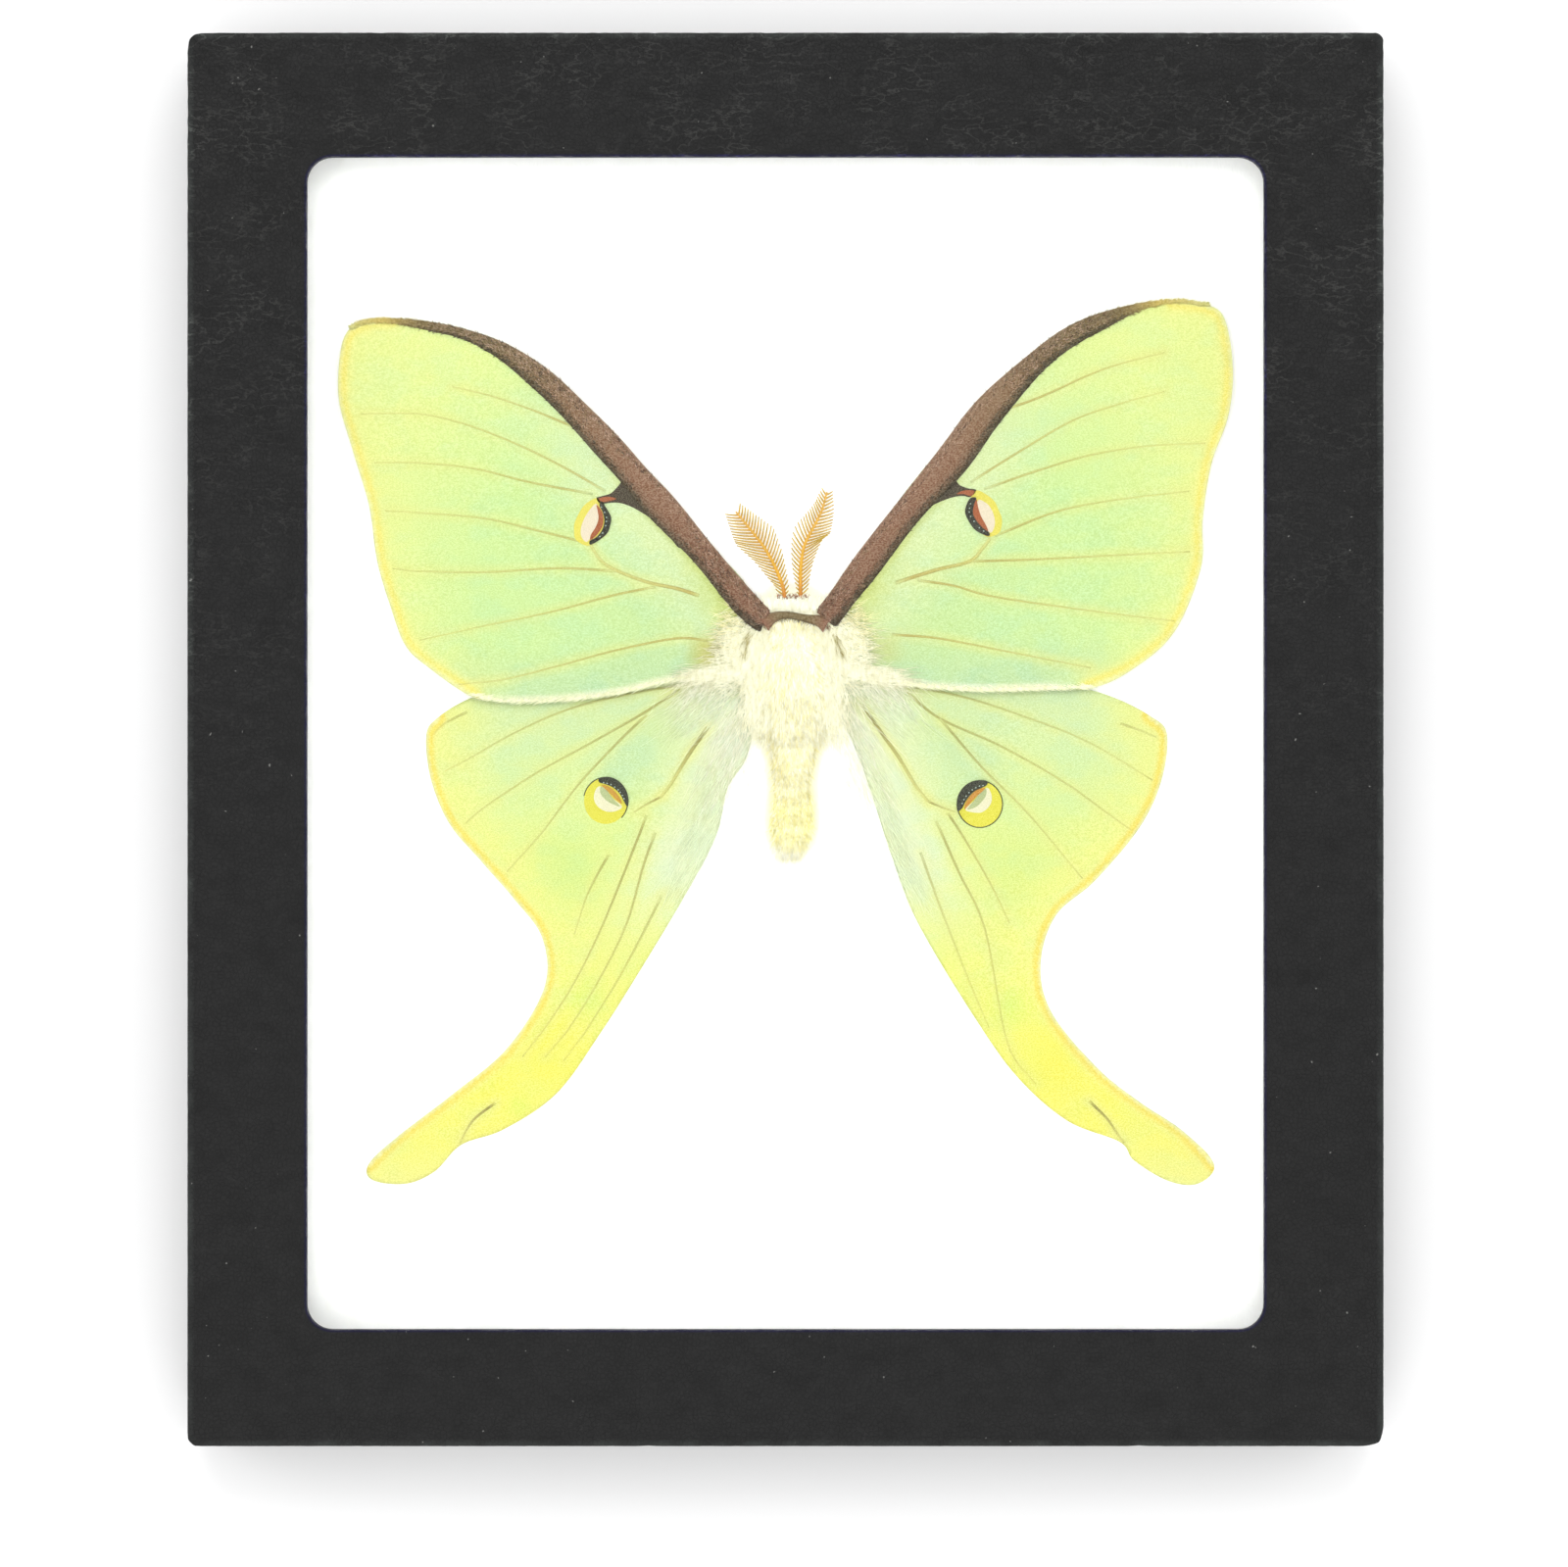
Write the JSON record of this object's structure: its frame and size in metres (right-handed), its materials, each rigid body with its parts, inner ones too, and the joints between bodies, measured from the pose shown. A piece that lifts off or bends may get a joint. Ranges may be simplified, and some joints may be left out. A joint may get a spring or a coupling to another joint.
{
  "type": "framed luna moth specimen",
  "caption": "Glazed black card display case with a spread, long-tailed pale green moth pressed on white batting.",
  "frame": {"origin": "middle of the tray's underside, where the case rests on its back", "axes": "+Z out of the glass, +Y towards the case's upper edge, +X to the viewer's right"},
  "size_m": [0.1222, 0.1442, 0.019],
  "materials": {
    "lid": "black leather-grain paper over card, satin, rubbed at the edges",
    "tray": "black paper-covered card, matte",
    "glass": "clear, clean, polished",
    "batting": "soft white fibre",
    "forewing": "matte scales, pale green, with a maroon-brown front edge",
    "hindwing": "matte scales, pale green running to yellow tails",
    "body": "dense cream hair with a brown collar",
    "antenna": "tan horn with fine pale barbs"
  },
  "bodies": {
    "root": {"lid": "lid", "tray": "tray", "glass": "glass", "batting": "batting", "forewing_left": "forewing", "forewing_right": "forewing", "hindwing_left": "hindwing", "hindwing_right": "hindwing", "moth_body": "body", "antenna_left": "antenna", "antenna_right": "antenna"}
  },
  "joints": []
}
